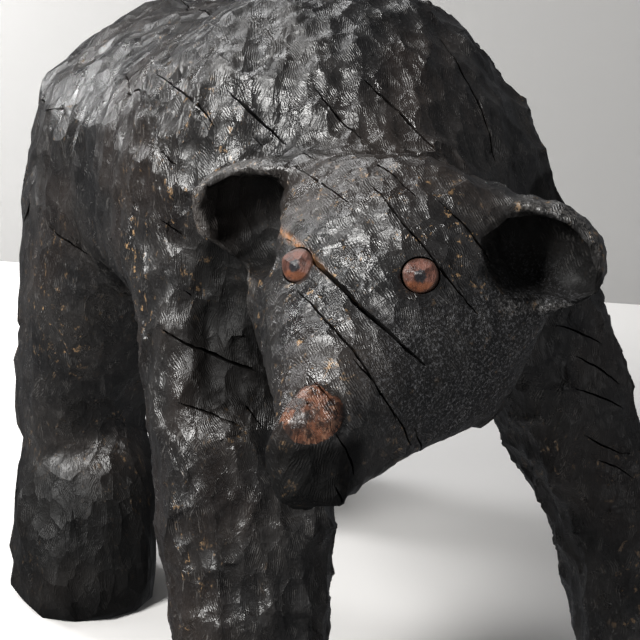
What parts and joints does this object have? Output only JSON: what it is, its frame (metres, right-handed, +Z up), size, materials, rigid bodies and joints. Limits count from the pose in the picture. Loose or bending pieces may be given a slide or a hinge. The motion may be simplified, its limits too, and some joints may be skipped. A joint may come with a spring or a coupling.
{
  "type": "carved wooden bear",
  "caption": "Life-like walking bear carved from one black-stained log, head turned to its right, with round wooden plugs for eyes; it stands on its own paws.",
  "frame": {"origin": "on the floor under the middle of the bear's bounding box", "axes": "+Z up, the bear's body looks along -Y and its tail is towards +Y, its left side is +X"},
  "size_m": [0.5688, 1.0616, 0.6941],
  "materials": {
    "stained_wood": "black stain with a dull wax sheen, gouge marks, drying cracks and tan worn specks; worn red-brown paint on the nose",
    "painted_plug": "worn red-brown paint with a dark pupil on whittled end grain"
  },
  "bodies": {
    "root": {"carved_bear": "stained_wood", "right_eye_plug": "painted_plug", "left_eye_plug": "painted_plug"}
  },
  "joints": []
}
